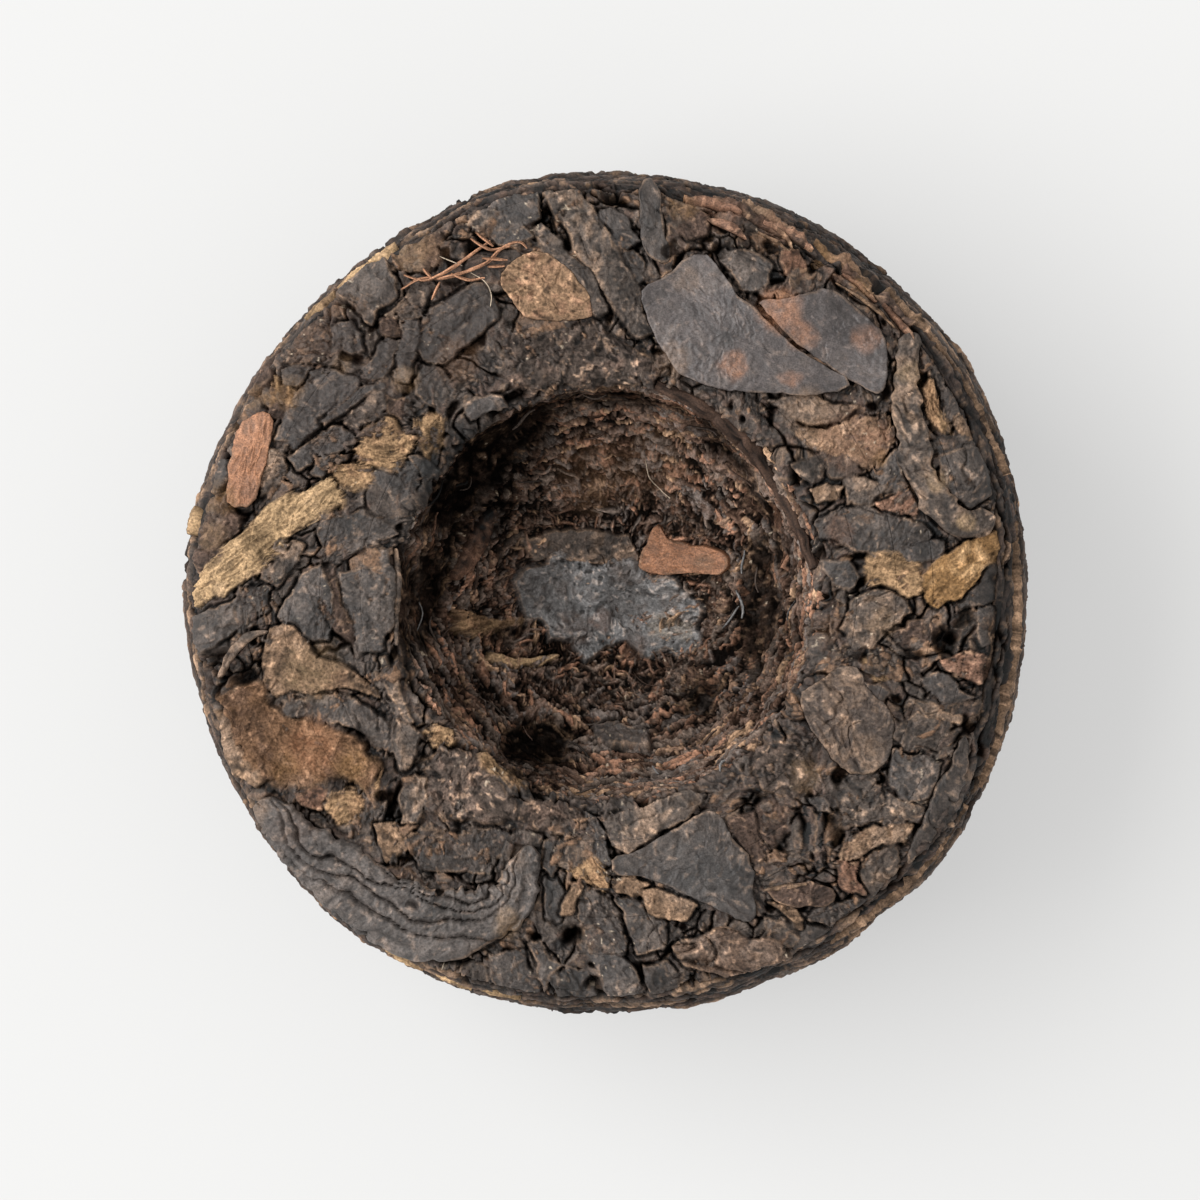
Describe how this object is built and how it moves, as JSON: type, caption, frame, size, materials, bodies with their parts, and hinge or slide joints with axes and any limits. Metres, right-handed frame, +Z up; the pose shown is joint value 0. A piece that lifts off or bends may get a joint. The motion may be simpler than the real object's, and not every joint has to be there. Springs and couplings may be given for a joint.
{
  "type": "mini pu erh tuocha",
  "caption": "Small nest of pressed dark tea leaf, round with a domed underside and a rounded hollow in its flat face, steeped whole for a pot of tea.",
  "frame": {"origin": "centre of the small flat spot on the crown of the dome, which the nest rests on, under the middle of its outline", "axes": "+Z up out of the hollow, +X to the right and +Y to the top of the picture, which looks straight down on the face"},
  "size_m": [0.0304, 0.0304, 0.0136],
  "materials": {
    "pressed_leaf": "matt dark brown pressed tea leaf with slate-grey, tan and rust leaves"
  },
  "bodies": {
    "root": {"tea_cake": "pressed_leaf"}
  },
  "joints": []
}
